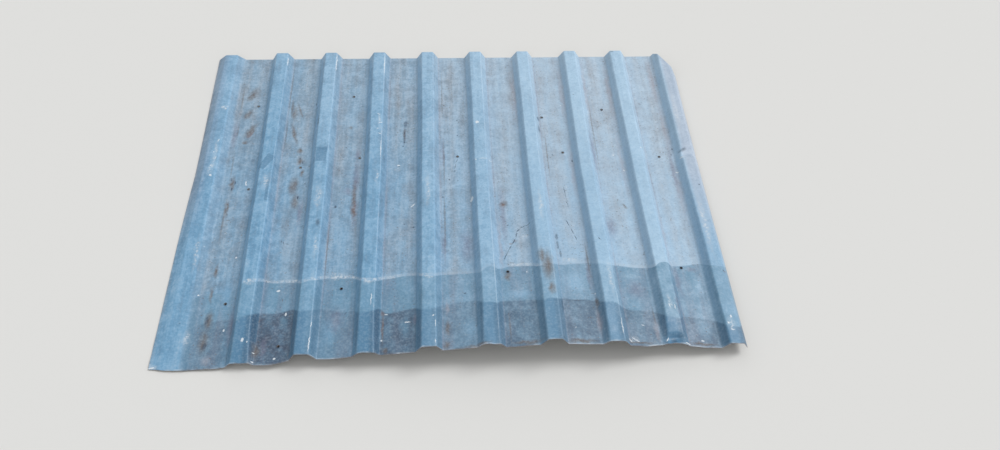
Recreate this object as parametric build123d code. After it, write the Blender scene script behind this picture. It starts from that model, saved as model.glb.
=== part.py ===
from build123d import *
import os
from math import atan2, cos, hypot, pi, sqrt, tan

# A used roofing sheet, cold rolled from one strip of thin steel into ten flat-topped ribs.
# Millimetres. X runs across the ribs, Y along them towards the back edge, +Z up.
# The origin is the middle of the sheet's outline, on the floor under the pans.

# Rolled profile
COVER_WIDTH = 1000.0        # middle of the first rib to middle of the last
RIB_COUNT = 10
RIB_DEPTH = 20.0            # floor to the top of a sound rib
RIB_FOOT = 49.0             # between the two bends at the bottom of a rib
CREST_WIDTH = 25.0          # between the two bends at the top of a rib
SHEET_GAUGE = 0.7
BEND_RADIUS = 3.0           # inside of every bend
OUTER_SIDE_SHARE = 0.8      # how much of the last rib's outer side is there

# Length
SHEET_LENGTH = 800.0
BENT_LENGTH = 448.0         # from the front edge to the line where the sound part begins
CRUSH_LENGTH = 100.0        # from the front edge to where the rib ends stop being crushed

# Damage of the front part
ARCH_RISE = 45.0            # the front edge stands up this far in the middle of its arch
ARCH_TOP_RIB = 6
ARCH_REACH_LEFT = 722.0     # from that rib to where the arch comes down on the left
ARCH_REACH_RIGHT = 500.0    # and on the right
FIRST_RIB_BACK = 0.75       # share of its depth left in the trodden first rib, at the back
FIRST_RIB_FRONT = 0.12      # and at the front edge
RIB_ENDS = {1: 0.5, 3: 0.55, 5: 0.7, 7: 0.7, 8: 0.35}   # share left of crushed rib ends

# The back corner of the last rib is snipped off
SNIP_ACROSS = 41.0
SNIP_ALONG = 75.0

# Nail holes: pan number, sideways from the pan's middle, distance from the edge
NAIL_HOLE_DIAMETER = 5.0
NAILS_FROM_BACK_EDGE = (
    (0, 15, 155), (0, 22, 394), (1, 11, 337), (2, 1, 128), (2, 22, 313), (4, 7, 313),
    (6, -25, 200), (6, 12, 306), (7, 2, 178), (8, -2, 323),
)
NAILS_FROM_FRONT_EDGE = ((0, 14, 129), (1, 10, 32), (2, 4, 149), (5, -17, 169), (8, -12, 178))

# Worked out from the sizes above
LAST_RIB = RIB_COUNT - 1
PITCH = COVER_WIDTH / LAST_RIB
HALF_GAUGE = SHEET_GAUGE / 2
FOLD_RADIUS = BEND_RADIUS + HALF_GAUGE
FOLD_RISE = RIB_DEPTH - SHEET_GAUGE
SIDE_RUN = (RIB_FOOT - CREST_WIDTH) / 2
SIDE_LENGTH = hypot(SIDE_RUN, FOLD_RISE)
BACK_Y = SHEET_LENGTH / 2
HINGE = SHEET_LENGTH - BENT_LENGTH
CRUSH_START = SHEET_LENGTH - CRUSH_LENGTH


def trodden_run(rise):
    """Sideways run of a trodden rib's side, which keeps its length as it leans out."""
    return sqrt(SIDE_LENGTH ** 2 - rise ** 2)


# The first rib spreads as it is trodden flat, so the ribs stand off centre by half of that
LEFT_REACH = CREST_WIDTH + 2 * trodden_run(FOLD_RISE * FIRST_RIB_FRONT) - RIB_FOOT / 2
RIGHT_REACH = CREST_WIDTH / 2 + SIDE_RUN * OUTER_SIDE_SHARE
CENTRING = (LEFT_REACH - RIGHT_REACH) / 2


def rib_middle(rib):
    return CENTRING + (rib - LAST_RIB / 2) * PITCH


def between(value, start, end):
    """0 up to start, 1 from end on, and straight in between."""
    return min(max((value - start) / (end - start), 0.0), 1.0)


def arch_lift(x, from_back):
    """Height that the bent front part has over the floor."""
    offset = x - rib_middle(ARCH_TOP_RIB)
    reach = between(offset, 0, ARCH_REACH_RIGHT) + between(-offset, 0, ARCH_REACH_LEFT)
    return ARCH_RISE * between(from_back, HINGE, SHEET_LENGTH) * cos(pi / 2 * reach) ** 2


def share_left(rib, from_back):
    """Share of its rolled depth that a rib still has."""
    if rib == 0:
        bent = between(from_back, HINGE, SHEET_LENGTH)
        return FIRST_RIB_BACK + (FIRST_RIB_FRONT - FIRST_RIB_BACK) * bent
    crushed = between(from_back, CRUSH_START, SHEET_LENGTH)
    return 1 - (1 - RIB_ENDS.get(rib, 1.0)) * crushed


def rib_folds(rib, from_back):
    """The four bends of one rib, left to right, as (x, z) over the pans."""
    rise = FOLD_RISE * share_left(rib, from_back)
    left, right = rib_middle(rib) - RIB_FOOT / 2, rib_middle(rib) + RIB_FOOT / 2
    if rib == 0:
        run = trodden_run(rise)
        left = right - CREST_WIDTH - 2 * run
    else:
        run = SIDE_RUN
    end_x, end_z = right, 0.0
    if rib == LAST_RIB:
        end_x = right - run * (1 - OUTER_SIDE_SHARE)
        end_z = rise * (1 - OUTER_SIDE_SHARE)
    return [(left, 0.0), (left + run, rise), (right - run, rise), (end_x, end_z)]


def sheet_outline(from_back):
    """Closed outline of the folded sheet where a plane square to the ribs cuts it."""
    folds = []
    for rib in range(RIB_COUNT):
        for x, z in rib_folds(rib, from_back):
            folds.append(Vector(x, 0, HALF_GAUGE + z + arch_lift(x, from_back)))
    runs = [(end - start).normalized() for start, end in zip(folds, folds[1:])]
    ups = [Vector(-run.Z, 0, run.X) for run in runs]
    skins = []
    for side in (HALF_GAUGE, -HALF_GAUGE):
        points = [folds[0] + ups[0] * side]
        for fold, run_in, run_out, up_in, up_out in zip(folds[1:], runs, runs[1:], ups, ups[1:]):
            turn = atan2(run_in.X * run_out.Z - run_in.Z * run_out.X, run_in.dot(run_out))
            hand = 1 if turn > 0 else -1
            tangent = FOLD_RADIUS * tan(abs(turn) / 2)
            centre = fold - run_in * tangent + up_in * (hand * FOLD_RADIUS)
            middle = centre + (fold - centre).normalized() * (FOLD_RADIUS - hand * side)
            points += [fold - run_in * tangent + up_in * side, middle]
            points.append(fold + run_out * tangent + up_out * side)
        points.append(folds[-1] + ups[-1] * side)
        skins.append([Vector(point.X, BACK_Y - from_back, point.Z) for point in points])
    upper, lower = skins
    edges = skin_edges(upper) + [Edge.make_line(upper[-1], lower[-1])]
    edges += skin_edges(lower)[::-1] + [Edge.make_line(lower[0], upper[0])]
    return Wire(edges)


def skin_edges(points):
    """Straight runs and bend arcs in turn, from points in threes after the first."""
    edges = []
    for start in range(0, len(points) - 2, 3):
        line_start, arc_start, arc_middle, arc_end = points[start:start + 4]
        edges.append(Edge.make_line(line_start, arc_start))
        edges.append(Edge.make_three_point_arc(arc_start, arc_middle, arc_end))
    edges.append(Edge.make_line(points[-2], points[-1]))
    return edges


def sound_back():
    """The straight rolled part, from the back edge to the hinge line."""
    return Solid.extrude(Face(sheet_outline(0)), Vector(0, -HINGE, 0))


def bent_front():
    """The part that arches up from the hinge line, with its rib ends crushed."""
    outlines = [sheet_outline(place) for place in (HINGE, CRUSH_START, SHEET_LENGTH)]
    return Solid.make_loft(outlines, ruled=True)


def nail_hole(pan, sideways, from_back):
    """A punch through one pan, square to the floor."""
    x = rib_middle(pan + 0.5) + sideways
    punch = Cylinder(NAIL_HOLE_DIAMETER / 2, RIB_DEPTH / 2)
    return Pos(x, BACK_Y - from_back, arch_lift(x, from_back)) * punch


def snipped_corner():
    """The wedge beyond the snip line, from below the floor to above the last rib."""
    corner_x = rib_middle(LAST_RIB) + RIGHT_REACH
    on_back = Vector(corner_x - SNIP_ACROSS, BACK_Y, -RIB_DEPTH)
    on_side = Vector(corner_x, BACK_Y - SNIP_ALONG, -RIB_DEPTH)
    past = on_side - on_back
    far_corner = Vector(corner_x + SNIP_ACROSS, BACK_Y + SNIP_ALONG, -RIB_DEPTH)
    outline = Wire.make_polygon([on_back - past, on_side + past, far_corner], close=True)
    return Solid.extrude(Face(outline), Vector(0, 0, 3 * RIB_DEPTH))


def profiled_sheet():
    cuts = [nail_hole(*place) for place in NAILS_FROM_BACK_EDGE]
    for pan, sideways, from_front in NAILS_FROM_FRONT_EDGE:
        cuts.append(nail_hole(pan, sideways, SHEET_LENGTH - from_front))
    cuts.append(snipped_corner())
    return sound_back() + bent_front() - cuts


os.makedirs("parts", exist_ok=True)
sheet = profiled_sheet()
sheet.label = "profiled_sheet"
export_step(sheet, "parts/profiled_sheet.step")
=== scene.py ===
import math

import bmesh
import bpy
import numpy as np
from mathutils import Matrix, Vector, noise
from mathutils.bvhtree import BVHTree


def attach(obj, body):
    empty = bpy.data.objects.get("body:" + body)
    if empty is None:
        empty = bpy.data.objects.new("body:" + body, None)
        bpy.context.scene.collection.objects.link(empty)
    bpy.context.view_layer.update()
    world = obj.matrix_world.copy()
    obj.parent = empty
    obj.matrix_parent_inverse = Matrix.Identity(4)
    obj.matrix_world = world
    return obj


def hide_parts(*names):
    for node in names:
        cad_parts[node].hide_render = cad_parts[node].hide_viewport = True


bl_info = {
    "name": "Weathered roofing sheet",
    "version": (1, 0, 0),
    "blender": (4, 5, 0),
    "location": "View3D > Sidebar > Roofing sheet",
    "description": "Rolls, bends, wears and paints one used roofing sheet, and sets up its studio",
    "category": "Object",
}

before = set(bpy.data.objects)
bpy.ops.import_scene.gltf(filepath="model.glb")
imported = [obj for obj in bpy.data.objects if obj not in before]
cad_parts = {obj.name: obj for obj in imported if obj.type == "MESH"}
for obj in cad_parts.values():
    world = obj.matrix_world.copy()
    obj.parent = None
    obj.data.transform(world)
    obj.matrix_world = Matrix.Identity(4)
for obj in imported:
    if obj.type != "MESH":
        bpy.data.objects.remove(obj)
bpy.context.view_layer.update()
NODE = "profiled_sheet"
MM = 0.001

# Rib number, share of its depth left at the front edge, and where the crushing starts from the back
CRUSHED_ENDS = (
    (1, 0.50, 0.700),
    (3, 0.55, 0.700),
    (5, 0.70, 0.700),
    (7, 0.70, 0.700),
    (8, 0.35, 0.715),
)

# Dents in the crests: rib, from back, reach back, reach front, depth, all in millimetres but the rib
CREST_DENTS = (
    (1, 330, 18, 30, 2.6),
    (2, 297, 3, 45, 1.9),
    (5, 330, 24, 4, 1.7),
    (8, 1, 1, 9, 2.5),
    (8, 784, 4, 30, 4.5),
    (9, 327, 30, 16, 7.0),
)

# Nail holes: across from the middle of the rolled width and from the back edge, millimetres
NAIL_HOLES = (
    (-429.4, 155), (-422.4, 394), (-322.3, 337), (-221.2, 128), (-200.2, 313), (7, 313),
    (197.2, 200), (234.2, 306), (335.3, 178), (442.4, 323),
    (-430.4, 671), (-323.3, 768), (-218.2, 651), (94.1, 631), (432.4, 622),
)

# Marks on the paint, in millimetres: across, from back, half width, half length, and a turn in
# degrees where there is one.
# White chips, spots and scratches, with painted highlights along some crest corners, on kinks and at the
# edge of a hollow
WHITE_CHIPS_AND_GLINTS = (
    (-501, 364, 3, 3.5), (-430, 377, 1.6, 8, -10), (-425, 565, 2, 2.4), (52, 228, 5, 5),
    (33, 439, 3.2, 8, 10), (-87, 449, 1.5, 8, 40), (-336, 647, 4, 2.6, -10), (-317, 700, 2.2, 4.4, 10),
    (-386, 757, 3, 4.6), (-377, 761, 1.5, 2), (-133, 715, 4, 1.4), (-94, 735, 7, 1.4),
    (-140, 771, 2.4, 1.6), (474, 368, 3.6, 2.6), (386, 722, 1.1, 6, -8), (396, 725, 1.3, 6),
    (500, 742, 2.4, 4), (492, 756, 2, 2.6), (497, 770, 5, 1.4), (208, 763, 1.6, 1.6),
    (254, 688, 1.4, 2.4), (243, 162, 2, 2), (-118, 335, 3.4, 1.6), (488, 338, 6, 2.2, 10),
    (61, 334, 12, 0.8), (77, 330, 6, 0.7, -20), (45, 338, 2, 2), (-483, 650, 1.4, 2.4),
    (130, 632, 1.5, 1.8), (360, 360, 1.6, 3), (373, 788, 1.1, 5.5, 37), (440, 787, 4, 1.4),
    (410, 795, 6, 2, 10), (-328, 792, 2.4, 2), (-366, 797, 3, 1.4), (-375, 26, 1, 16), (-264, 30, 1, 32),
    (-154, 40, 1, 42), (-155, 300, 0.8, 32), (-162, 200, 5, 1, 30), (-158, 226, 5, 1.1, -25),
    (-163, 243, 3, 1, 10), (-159, 258, 5, 1, 28), (-498, 268, 1, 4, 20), (-503, 300, 1.2, 3, -10),
    (-497, 318, 1, 5, 15), (-504, 338, 1.4, 2), (-503, 168, 5, 1.4, -12), (-496, 174, 2, 1.4),
    (343, 315, 2, 2), (-541, 798, 6, 2), (-266, 776, 1, 20, 2), (-265, 736, 0.8, 7), (-43, 790, 1, 5),
    (-43, 752, 0.9, 9), (290, 768, 0.9, 20), (-47, 735, 1.8, 1.8), (401, 310, 1.8, 1.8),
    (-160, 690, 0.9, 16, 4), (304, 791, 0.9, 6, -35), (311, 788, 0.9, 7, -42), (317, 792, 0.8, 5, -48),
    (333, 757, 0.7, 5, -60), (-366, 779, 2.2, 1.4), (-426, 727, 2, 3),
)
# Chalky scuffs of the crests and pans
PALE_SCUFFS = (
    (-500, 325, 7, 42), (-498, 169, 11, 9), (-500, 290, 6, 34), (-503, 352, 9, 22), (-386, 388, 11, 30),
    (-276, 432, 11, 42), (-228, 620, 30, 12), (-228, 617, 22, 7), (-161, 215, 6, 26),
    (-157, 245, 5, 22, -10), (-160, 380, 5, 30), (132, 543, 12, 10), (215, 604, 22, 8),
    (-540, 795, 14, 6), (311, 789, 13, 10), (388, 714, 8, 26), (497, 760, 11, 24), (-120, 345, 10, 10),
    (284, 660, 6, 60), (-272, 560, 6, 46), (-168, 650, 14, 9), (-54, 646, 13, 6), (-388, 636, 12, 9),
    (497, 200, 8, 90), (497, 520, 9, 110), (-500, 560, 7, 60), (-490, 741, 10, 22), (170, 470, 7, 60),
    (-56, 420, 7, 60),
)
# Small dark specks and scratches
DARK_SPECKS = (
    (-515, 380, 2, 2.4), (-310, 380, 1.8, 2.6), (-126, 456, 2, 2), (-26, 428, 2.2, 3.4),
    (102, 511, 2.2, 2.4), (-103, 500, 2, 1.6), (-106, 268, 2.4, 3), (-109, 280, 2, 3.4),
    (211, 311, 2, 2.4), (252, 330, 2, 4.4), (-12, 378, 2.4, 2.8), (6, 382, 2.4, 1.8), (0, 353, 2.8, 2.8),
    (8, 205, 2.2, 2.2), (507, 418, 2.2, 2.4), (327, 477, 3, 1.6, 20), (-506, 711, 1.6, 2),
    (12, 677, 4, 2.6, -20), (-117, 338, 4, 1.2), (-338, 534, 1.2, 5, -20), (-331, 537, 5, 1.3, 20),
    (-342, 530, 1, 4), (-452, 375, 1.8, 6), (-461, 366, 1.8, 7), (-457, 392, 2, 6), (-326, 311, 3, 2),
    (-319, 322, 1.8, 4), (-321, 418, 1.8, 7), (-243, 446, 2.6, 5), (277, 565, 0.9, 7, -40),
    (509, 638, 2.2, 2.4), (-85, 508, 2.6, 2.6), (273, 146, 3, 1.2), (8, 250, 1.6, 2.4),
    (-303, 150, 1.4, 5), (-300, 165, 1.2, 4), (475, 300, 1.4, 4), (470, 316, 1.4, 4),
    (-208, 707, 1, 5, 30), (-203, 716, 1, 4, 30),
)
# Soil and old stain
BROWN_DIRT = (
    (-458, 378, 9, 28), (-461, 445, 5, 30), (-458, 596, 6, 22), (-460, 650, 6, 24), (-456, 706, 12, 30),
    (-459, 750, 14, 38), (-438, 228, 12, 36, 28), (-447, 262, 10, 9), (-446, 118, 13, 30, 20),
    (-450, 180, 11, 24, 20), (-348, 178, 9, 30), (-343, 240, 7, 46, -13), (-328, 288, 9, 13),
    (-325, 318, 9, 17), (-318, 352, 7, 16), (-333, 386, 15, 34), (-325, 430, 13, 30), (-106, 244, 5, 28),
    (97, 452, 12, 14), (-134, 792, 8, 9), (-24, 790, 9, 14), (-21, 752, 7, 26), (254, 708, 5, 18),
    (346, 462, 5, 12, -20), (169, 630, 17, 54), (160, 606, 10, 32), (172, 684, 10, 22),
    (-363, 776, 11, 24), (30, 796, 36, 5), (-223, 224, 9, 8), (93, 640, 10, 18), (440, 794, 40, 5),
    (215, 793, 44, 6), (120, 793, 40, 6), (320, 796, 40, 4), (-207, 420, 9, 58), (-206, 462, 8, 26),
)
# Thin straight streaks of dirt along the feet of the ribs
DIRT_STREAKS = (
    (-467, 135, 3, 66), (-465, 225, 2.6, 40), (-464, 330, 3, 50), (-463, 470, 3, 90),
    (-362, 100, 2.6, 110), (-361, 240, 2.6, 60), (-355, 158, 5, 38), (-337, 168, 4, 38, -18),
    (-23, 500, 3, 120), (-22, 330, 2.4, 100), (-24, 130, 2.4, 120), (-138, 748, 3.4, 54),
    (250, 600, 3.4, 60), (357, 738, 3, 30), (90, 760, 3, 46), (-252, 560, 2.4, 90), (200, 300, 2.2, 120),
    (308, 250, 2.4, 140),
)
# Pinkish dust along the edges of the pans
PINK_BANDS = (
    (253, 752, 7, 40), (357, 768, 7, 40), (-22, 708, 5, 26), (-450, 788, 13, 16), (466, 90, 12, 110),
    (470, 240, 10, 120), (470, 410, 11, 120), (360, 120, 8, 140), (358, 340, 8, 130), (250, 130, 8, 130),
    (250, 350, 8, 120), (140, 130, 7, 120), (411, 560, 7, 120), (84, 560, 5, 120), (306, 120, 6, 150),
)
# Rust that came through the paint
RUST_SPOTS = (
    (-438, 240, 6, 16, 28), (112, 553, 6, 6), (106, 561, 5, 4), (97, 455, 6, 5), (-205, 452, 5, 24),
    (-139, 742, 2, 36), (-139, 712, 5, 7), (512, 640, 5, 3),
)
# Old stains along the rib feet and in the pans
PURPLE_STAINS = (
    (-206, 375, 11, 80), (-205, 455, 10, 66), (-224, 720, 18, 40), (-220, 405, 16, 16),
    (-205, 300, 8, 24), (451, 624, 16, 8), (466, 360, 8, 90), (-313, 460, 8, 50), (-24, 300, 6, 60),
    (-24, 560, 7, 60), (94, 480, 10, 110), (333, 676, 26, 36), (248, 640, 7, 60), (310, 520, 16, 40),
    (-80, 728, 5, 18), (420, 650, 10, 60), (-414, 722, 9, 60), (405, 720, 8, 70), (-470, 240, 8, 60),
    (300, 300, 9, 90), (20, 560, 20, 60), (-350, 770, 8, 34),
)
# Dark smears, with painted shade in the hollow at rib 8's front end and in the kink of the last rib
DARK_SMEARS_AND_SHADE = (
    (-456, 760, 6, 12), (-460, 704, 5, 14), (196, 545, 4, 12), (196, 566, 3, 16), (222, 702, 24, 2.2),
    (188, 240, 4, 14), (188, 208, 4, 9), (-292, 218, 3, 18), (385, 792, 8, 11, 10), (-272, 500, 5, 12),
    (380, 3, 6, 2), (-107, 250, 4, 30), (-105, 214, 6, 12), (189, 715, 3, 22), (199, 588, 3, 14),
    (223, 241, 4, 2.4), (492, 316, 13, 5, -25),
)
# Thin dark curves, as half width and the places that they join: across and from back
DARK_LINES = (
    (1.0, (225, 403), (227, 440), (229, 468)),
    (1.1, (219, 498), (226, 520), (232, 540), (236, 556)),
    (1.4, (147, 510), (136, 513), (126, 520), (118, 530), (116, 545), (106, 563), (98, 580), (88, 602)),
    (1.0, (8, 318), (3, 330), (0, 350)),
)
# Cleaner patches
CLEAN_PATCHES = (
    (232, 588, 28, 26), (219, 660, 24, 34), (450, 758, 24, 36, -8), (460, 664, 10, 30),
    (112, 684, 30, 15), (22, 757, 20, 32), (-98, 748, 14, 34), (-432, 650, 12, 60), (-236, 745, 18, 40),
    (-318, 716, 12, 16),
)
# Painted shade in pressed, dented patches, with straight sides, each with its turn
PRESSED_SHADE = (
    (-279, 315, 11.5, 21, 0), (-391, 333, 9, 22, 30), (-381, 412, 3, 28, 0), (-167, 796, 6.5, 4, 0),
)

# The curves below are pairs, and the first of each pair is how far across the sheet it lies.
# How far from the back the paint that was once covered begins, and a second edge like it
LAP_EDGE = (
    (-540, 654), (-479, 648), (-421, 643), (-389, 620), (-344, 629), (-301, 630), (-270, 625),
    (-209, 627), (-150, 635), (-82, 629), (-40, 631), (38, 629), (60, 614), (79, 622), (103, 617),
    (148, 617), (173, 611), (196, 616), (254, 613), (302, 618), (360, 624), (395, 606), (419, 618),
    (476, 611), (522, 616),
)
SECOND_EDGE = (
    (-540, 720), (-400, 700), (-380, 692), (-342, 697), (-296, 690), (-259, 691), (-201, 703),
    (-148, 699), (-132, 712), (-82, 705), (-52, 704), (46, 695), (78, 699), (148, 697), (165, 692),
    (193, 697), (250, 702), (273, 701), (310, 721), (354, 726), (444, 738), (522, 750),
)
# How clearly each of them shows across the sheet, and how white the line of lime along the first is
LIME = (
    (-540, 0.0), (-402, 0.0), (-396, 0.8), (-345, 0.7), (-322, 1.0), (-262, 1.0), (-250, 0.45),
    (-225, 0.8), (-200, 1.0), (-110, 0.9), (-100, 0.5), (-60, 0.7), (-30, 0.4), (30, 0.35), (50, 0.3),
    (78, 0.1), (98, 0.2), (106, 1.0), (150, 0.95), (165, 0.1), (220, 0.15), (300, 0.2), (320, 0.45),
    (380, 0.4), (400, 0.15), (540, 0.0),
)
LAP_CLEARNESS = (
    (-540, 0.0), (-492, 0.1), (-482, 0.9), (-457, 0.9), (-446, 0.8), (-403, 0.85), (-389, 0.5),
    (-360, 1.0), (-301, 1.0), (-279, 0.4), (-255, 0.9), (-190, 0.95), (-167, 0.6), (-140, 1.0),
    (-82, 1.0), (-56, 0.5), (-30, 0.75), (30, 0.7), (56, 0.4), (85, 0.95), (140, 0.95), (167, 0.6),
    (195, 0.75), (250, 0.75), (278, 0.4), (306, 0.95), (360, 1.0), (470, 1.0), (500, 0.8), (530, 0.7),
)
SECOND_EDGE_CLEARNESS = (
    (-540, 0.0), (-484, 0.1), (-455, 0.5), (-404, 0.55), (-396, 1.0), (-300, 1.0), (-279, 0.9),
    (-259, 0.35), (-196, 0.3), (-178, 0.9), (-110, 0.85), (-82, 0.9), (-56, 0.6), (-20, 0.35), (30, 0.45),
    (60, 0.85), (80, 0.65), (150, 0.6), (167, 0.9), (190, 0.6), (250, 0.65), (278, 0.75), (310, 0.5),
    (360, 0.6), (389, 1.0), (415, 0.5), (470, 0.65), (500, 0.9), (522, 0.8),
)
# How pale the paint goes across the sheet, partly from chalking and partly as a painted fall of light from
# the right
CHALK_AND_LIGHT = (
    (-560, 0.1), (-500, 0.1), (-389, 0.08), (-278, 0.28), (-167, 0.17), (-56, 0.34), (56, 0.56),
    (167, 0.72), (278, 0.82), (389, 0.95), (560, 1.0),
)

# How pale the right crest corner of each rib shows, as paint worn off it and as a painted highlight along
# it
CORNER_WEAR_AND_SHINE = (
    (-500, 0.0), (-389, 0.25), (-278, 0.45), (-167, 0.65), (-56, 0.2), (56, 0.6), (167, 0.5), (278, 0.6),
    (389, 0.35), (500, 0.1),
)

# How far the front edge strays forward, across the sheet
EDGE_DRIFT = (
    (-560, 0), (-520, 3), (-470, 5), (-430, 5), (-405, 1), (-389, 0), (-333, 3), (-290, -2), (-222, 0),
    (-111, 1), (-60, -1), (0, 1), (56, 0), (111, 1), (167, -1), (222, 1), (278, 0), (333, 4), (389, -3),
    (444, 2), (530, 0),
)

# The rows of the mesh from back to front: how many, and how much of the length they cover
ROW_RUNS = ((48, 0.3625), (18, 0.06875), (46, 0.36875), (16, 0.125), (20, 0.075))
# The columns of one rib and pan: bend, side, bend, crest, bend, side, bend, pan
COLUMN_RUNS = (4, 2, 4, 3, 4, 2, 4, 6)
LAST_RIB_COLUMNS = sum(COLUMN_RUNS[:6])
# Keeps a column on the first step of its own rib when its number is rounded down
NUDGE = 0.01
# Half of a bend along the steel, as a share of its inside radius
BEND_REACH = 0.68
# How softly the arch sets in, as a share of the bent length
ARCH_EASE = 0.12
# The sizes that the node tree takes, in the order of its inputs
TREE_SIZES = ("cover_width", "rib_count", "rib_depth", "rib_foot", "crest_width", "gauge", "bend_radius",
              "outer_side", "sheet_length", "bent_length", "arch_rise", "arch_rib", "arch_reach_left",
              "arch_reach_right", "first_rib_back", "first_rib_front")

# Waves in the flat metal: how many to a metre across and along, and which ones they are
SLOW_WAVES = (14, 5, 0.3)
QUICK_WAVES = (60, 45, 7.1)
# How far those waves move the metal, in metres: pans up, front end up, edge out and sheet sideways
PAN_LIFT = 0.0009
FRONT_LIFT = 0.0014
EDGE_SLOW = 0.003
EDGE_QUICK = 0.0008
SIDEWAYS = 0.0012
# Crushed rib ends: how far past the front edge the crushing is whole, in metres, how far they buckle,
# how much they spread, and how much of the height may go
CRUSHED_PAST = 0.02
BUCKLE = 0.005
SPREAD = 0.3
MOST_CRUSHED = 0.92
# Where the waves of the front end and the drift of its edge begin, metres from the back
WAVES_FROM = 0.70
DRIFT_FROM = 0.74

# Nail holes: how far out the metal is laid anew in hole radii, where its rings lie on the way in,
# and how soon the raised metal falls off
HOLE_PATCH = 4.2
HOLE_RINGS = (0.3, 0.55, 0.75, 0.9, 1.0)
HOLE_FALL = 0.9
# A height above every part of the sheet, metres
OVERHEAD = 0.2
# Faces that meet at more than this are shaded as a sharp edge, degrees
SHARP = 38

# Thin dark curves: how far each run laps over its ends, as a share of its half width
LINE_OVERLAP = 1.5
# How much of a straight-sided patch's size its outline fades over
PATCH_SOFT = 0.12
# Lines along each rib on the paint, in millimetres right of its middle
GUTTER = -35
LEFT_FOOT = -24
RIGHT_CORNER = 12.6
RIGHT_FOOT = 25.4
# Colours that the paint is multiplied by where it is cloudy and where it is speckled
CLOUDED = (0.55, 0.60, 0.64)
SPECKLED = (0.58, 0.62, 0.66)
# Painted shade in dark rings round the nail holes, and the worn strip along the front edge, millimetres
NAIL_RING = 4.4
FRONT_STRIP = (3.4, 1.6)

# The studio floor: half its width, and how far it lies under the sheet, metres
FLOOR_HALF = 6.0
FLOOR_GAP = 0.0004
# Width of the camera's sensor, which its lens is given for, millimetres
SENSOR_WIDTH = 36.0


def linear(red, green, blue):
    """A colour as it is seen on screen, 0 to 255, as the numbers that a shader takes."""
    shares = [channel / 255 for channel in (red, green, blue)]
    return tuple(s / 12.92 if s <= 0.04045 else ((s + 0.055) / 1.055) ** 2.4 for s in shares)


def length(name, description, default):
    return bpy.props.FloatProperty(name=name, description=description, default=default, min=0.0,
                                   subtype="DISTANCE", unit="LENGTH", precision=5)


def share(name, description, default):
    return bpy.props.FloatProperty(name=name, description=description, default=default, min=0.0,
                                   max=1.0, subtype="FACTOR")


def angle(name, description, degrees):
    return bpy.props.FloatProperty(name=name, description=description, default=math.radians(degrees),
                                   subtype="ANGLE")


def level(name, description, default):
    return bpy.props.FloatProperty(name=name, description=description, default=default, min=0.0)


def position(name, description, default):
    return bpy.props.FloatVectorProperty(name=name, description=description, default=default, size=3,
                                         subtype="TRANSLATION", unit="LENGTH")


def tone(name, description, *seen):
    return bpy.props.FloatVectorProperty(name=name, description=description, size=3, min=0.0, max=1.0,
                                         default=linear(*seen), subtype="COLOR")


class SheetSizes(bpy.types.PropertyGroup):
    """Sizes of the rolled sheet and of its bent front part"""

    cover_width: length("Cover width", "Middle of the first rib to middle of the last", 1.0)
    rib_count: bpy.props.IntProperty(name="Ribs", description="Ribs across the sheet", default=10, min=2)
    rib_depth: length("Rib depth", "Floor to the top of a sound rib", 0.020)
    rib_foot: length("Rib foot", "Between the two bends at the bottom of a rib", 0.049)
    crest_width: length("Crest width", "Between the two bends at the top of a rib", 0.025)
    gauge: length("Steel thickness", "Thickness of the painted steel", 0.0007)
    bend_radius: length("Bend radius", "Inside of every bend", 0.003)
    outer_side: share("Outer side", "How much of the last rib's outer side is there", 0.8)
    sheet_length: length("Length", "Back edge to front edge", 0.8)
    bent_length: length("Bent length", "Front edge to where the sound part begins", 0.448)
    arch_rise: length("Arch rise", "How far the front edge stands up", 0.045)
    arch_rib: bpy.props.IntProperty(name="Arch rib", description="Rib under the arch's top", default=6)
    arch_reach_left: length("Arch reach left", "From that rib to the arch's left foot", 0.722)
    arch_reach_right: length("Arch reach right", "From that rib to the arch's right foot", 0.5)
    first_rib_back: share("First rib, back", "Depth left in the trodden first rib at the back", 0.75)
    first_rib_front: share("First rib, front", "Depth left in it at the front edge", 0.12)
    snip_across: length("Snip across", "Snipped back corner, along the back edge", 0.041)
    snip_along: length("Snip along", "Snipped back corner, along the side", 0.075)
    nail_hole: length("Nail hole", "Diameter of the nail holes", 0.005)
    nail_lift: length("Nail lift", "How far the metal stands up round a hole", 0.0016)


class SheetFinish(bpy.types.PropertyGroup):
    """Colours of the paint, of what has settled on it, of painted light and shade, and of the bare metal
    """

    # The paint runs from blue_left to blue_right partly as chalking and partly as a painted fall of light
    # from the back right
    blue_left: tone("Paint, left", "Faded paint at the front left", 117, 168, 204)
    blue_right: tone("Paint, right", "Chalked paint at the back right", 178, 211, 236)
    edge_blue: tone("Last rib", "Lilac-grey paint at the back of the last rib", 184, 196, 214)
    lapped_blue: tone("Lapped paint", "Paint that was once covered", 103, 146, 174)
    # deep_blue is also the painted shade of the pressed patches
    deep_blue: tone("Deep blue", "Cleaner paint of the ribs near the front edge", 78, 125, 160)
    # The dust runs from dust_left to dust_right partly as a painted fall of light
    dust_left: tone("Dust, left", "Dust in the pans at the left", 150, 165, 178)
    dust_right: tone("Dust, right", "Dust in the pans at the right", 187, 197, 208)
    warm_dust: tone("Warm dust", "Earthy dust in some of the pans", 160, 158, 160)
    lap_dirt: tone("Lap dirt", "Purple-grey dirt near the front edge", 68, 84, 106)
    brown: tone("Brown dirt", "Soil and old stain", 108, 98, 92)
    rust: tone("Rust", "Rust that came through the paint", 134, 102, 88)
    pink: tone("Pinkish dust", "Dust along the edges of the pans", 172, 166, 174)
    purple: tone("Purple stain", "Old stain along the rib feet", 120, 122, 144)
    # Also the colour of painted highlights on rib sides and crest corners
    chip_and_highlight: tone("Chips", "Chalk-white chips and spots", 226, 234, 240)
    # Also the colour of painted shade on rib sides, in creases and dents and round the nail holes
    shade: tone("Dark marks", "Dark specks, scratches and smears", 44, 64, 88)
    zinc: tone("Zinc", "Zinc coat at the cut edges", 168, 172, 174)
    back_coat: tone("Back coat", "Plain coat of the underside", 150, 152, 150)


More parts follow.
